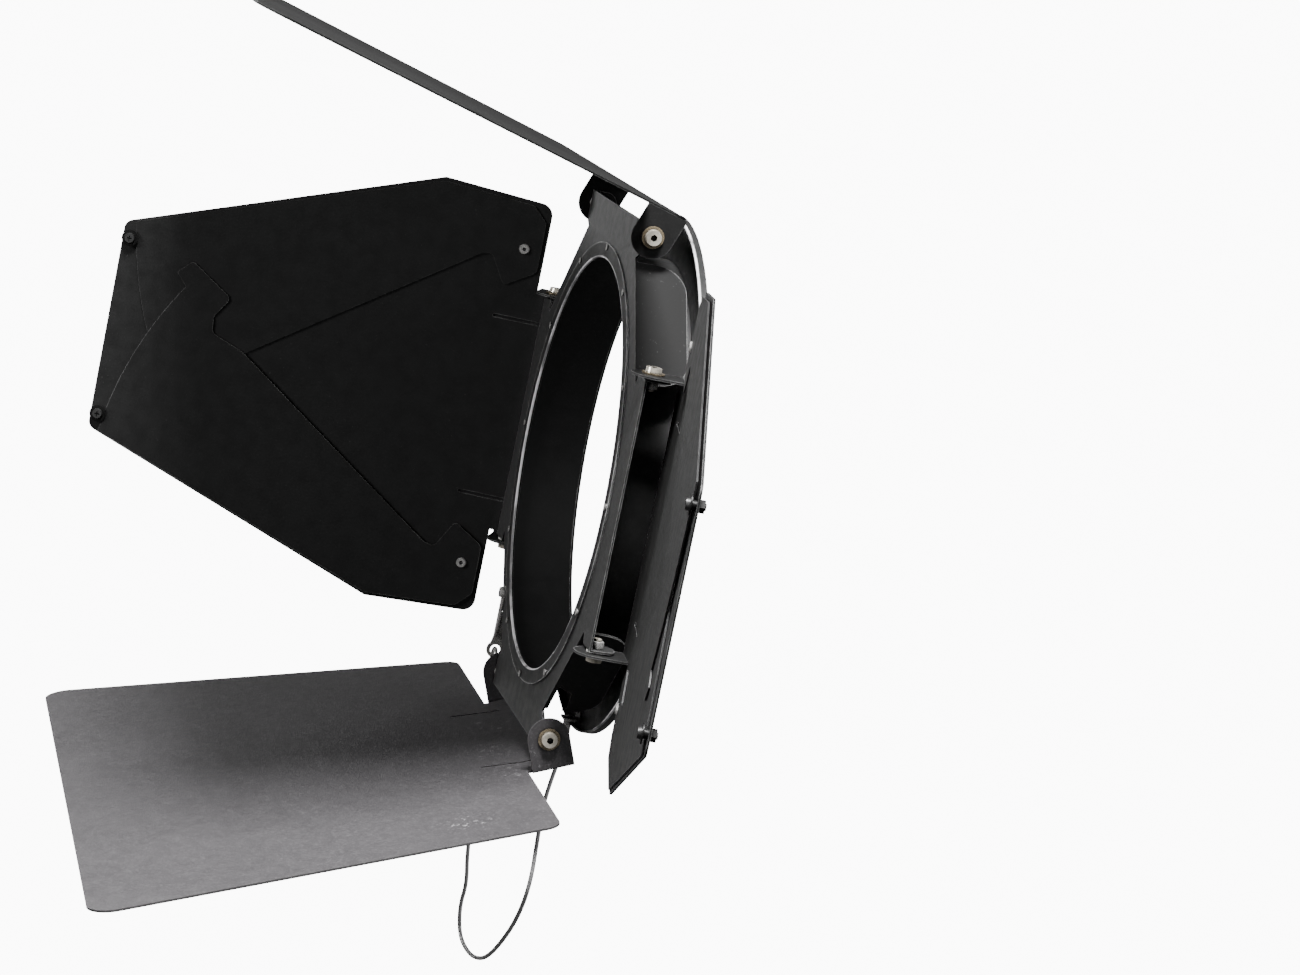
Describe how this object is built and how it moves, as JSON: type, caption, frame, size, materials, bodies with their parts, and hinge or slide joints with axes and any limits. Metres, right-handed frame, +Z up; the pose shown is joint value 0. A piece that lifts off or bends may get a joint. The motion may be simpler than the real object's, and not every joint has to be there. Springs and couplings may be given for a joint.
{
  "type": "barn door attachment",
  "caption": "Four-leaf light-shaping barn door for a round stage lamp: mounting ring, face plate and hinged flaps with swing-out corner leaves.",
  "frame": {"origin": "centre of the rear face of the round mounting ring, on the optical axis", "axes": "-Y is the way the light leaves, +Z up, +X to the right seen from the lamp's front"},
  "size_m": [0.7623, 0.3381, 0.6486],
  "materials": {
    "body_paint": "satin black heat-resistant paint",
    "door_paint": "satin black heat-resistant paint, lightly scuffed",
    "leaf_paint": "matt black paint with fine rub marks",
    "bright_edge": "worn satin edge",
    "plated": "zinc-plated",
    "bolt_nickel": "nickel-plated, slightly yellow",
    "nylon": "natural nylon",
    "black_hardware": "black oxide",
    "wire": "stranded steel under clear sleeve"
  },
  "bodies": {
    "frame": {"face_plate": "body_paint", "mount_collar": "body_paint", "mount_ring": "body_paint", "bezel_ring": "bright_edge", "bezel_rivets": "plated", "hinge_bolts": "bolt_nickel", "hinge_washers": "plated", "hinge_spacers": "nylon", "hinge_nuts": "plated", "anchor_screw": "plated", "anchor_nut": "plated", "eye_strap": "plated", "cable_eye": "plated", "ring_lug": "plated", "lug_rivet": "plated", "cable_terminal": "plated", "safety_cable": "wire"},
    "top_flap": {"top_door": "door_paint"},
    "bottom_flap": {"bottom_door": "door_paint"},
    "left_flap": {"left_door": "door_paint", "left_leaf_rivets": "plated", "left_pivot_spacer": "plated", "left_guide_screws": "black_hardware", "left_guide_bushes": "black_hardware", "left_guide_washers": "black_hardware", "left_guide_nuts": "black_hardware"},
    "left_upper_leaf": {"left_leaf_upper": "leaf_paint"},
    "left_lower_leaf": {"left_leaf_lower": "leaf_paint"},
    "right_flap": {"right_door": "door_paint", "right_leaf_rivets": "plated", "right_pivot_spacer": "plated", "right_guide_screws": "black_hardware", "right_guide_bushes": "black_hardware", "right_guide_washers": "black_hardware", "right_guide_nuts": "black_hardware"},
    "right_upper_leaf": {"right_leaf_upper": "leaf_paint"},
    "right_lower_leaf": {"right_leaf_lower": "leaf_paint"}
  },
  "joints": [
    {"name": "top_hinge", "type": "hinge", "parent": "frame", "child": "top_flap", "pos_m": [0, -0.039, 0.168], "axis": [-1, 0, 0], "range_deg": [-31, 69]},
    {"name": "bottom_hinge", "type": "hinge", "parent": "frame", "child": "bottom_flap", "pos_m": [0, -0.039, -0.168], "axis": [1, 0, 0], "range_deg": [-31, 44]},
    {"name": "left_hinge", "type": "hinge", "parent": "frame", "child": "left_flap", "pos_m": [-0.168, -0.039, 0], "axis": [0, 0, -1], "range_deg": [-48, 69]},
    {"name": "right_hinge", "type": "hinge", "parent": "frame", "child": "right_flap", "pos_m": [0.168, -0.039, 0], "axis": [0, 0, 1], "range_deg": [-111.5, 5.5]},
    {"name": "left_lower_leaf_pivot", "type": "hinge", "parent": "left_flap", "child": "left_lower_leaf", "pos_m": [-0.19437, -0.06276, -0.116], "axis": [0.9613, -0.2756, 0], "range_deg": [0, 22]},
    {"name": "left_upper_leaf_pivot", "type": "hinge", "parent": "left_flap", "child": "left_upper_leaf", "pos_m": [-0.19562, -0.0624, 0.116], "axis": [-0.9613, 0.2756, 0], "range_deg": [0, 22]},
    {"name": "right_upper_leaf_pivot", "type": "hinge", "parent": "right_flap", "child": "right_upper_leaf", "pos_m": [0.20103, -0.026, 0.116], "axis": [-0.1822, -0.9833, 0], "range_deg": [0, 22]},
    {"name": "right_lower_leaf_pivot", "type": "hinge", "parent": "right_flap", "child": "right_lower_leaf", "pos_m": [0.20126, -0.02472, -0.116], "axis": [0.1822, 0.9833, 0], "range_deg": [0, 22]}
  ]
}
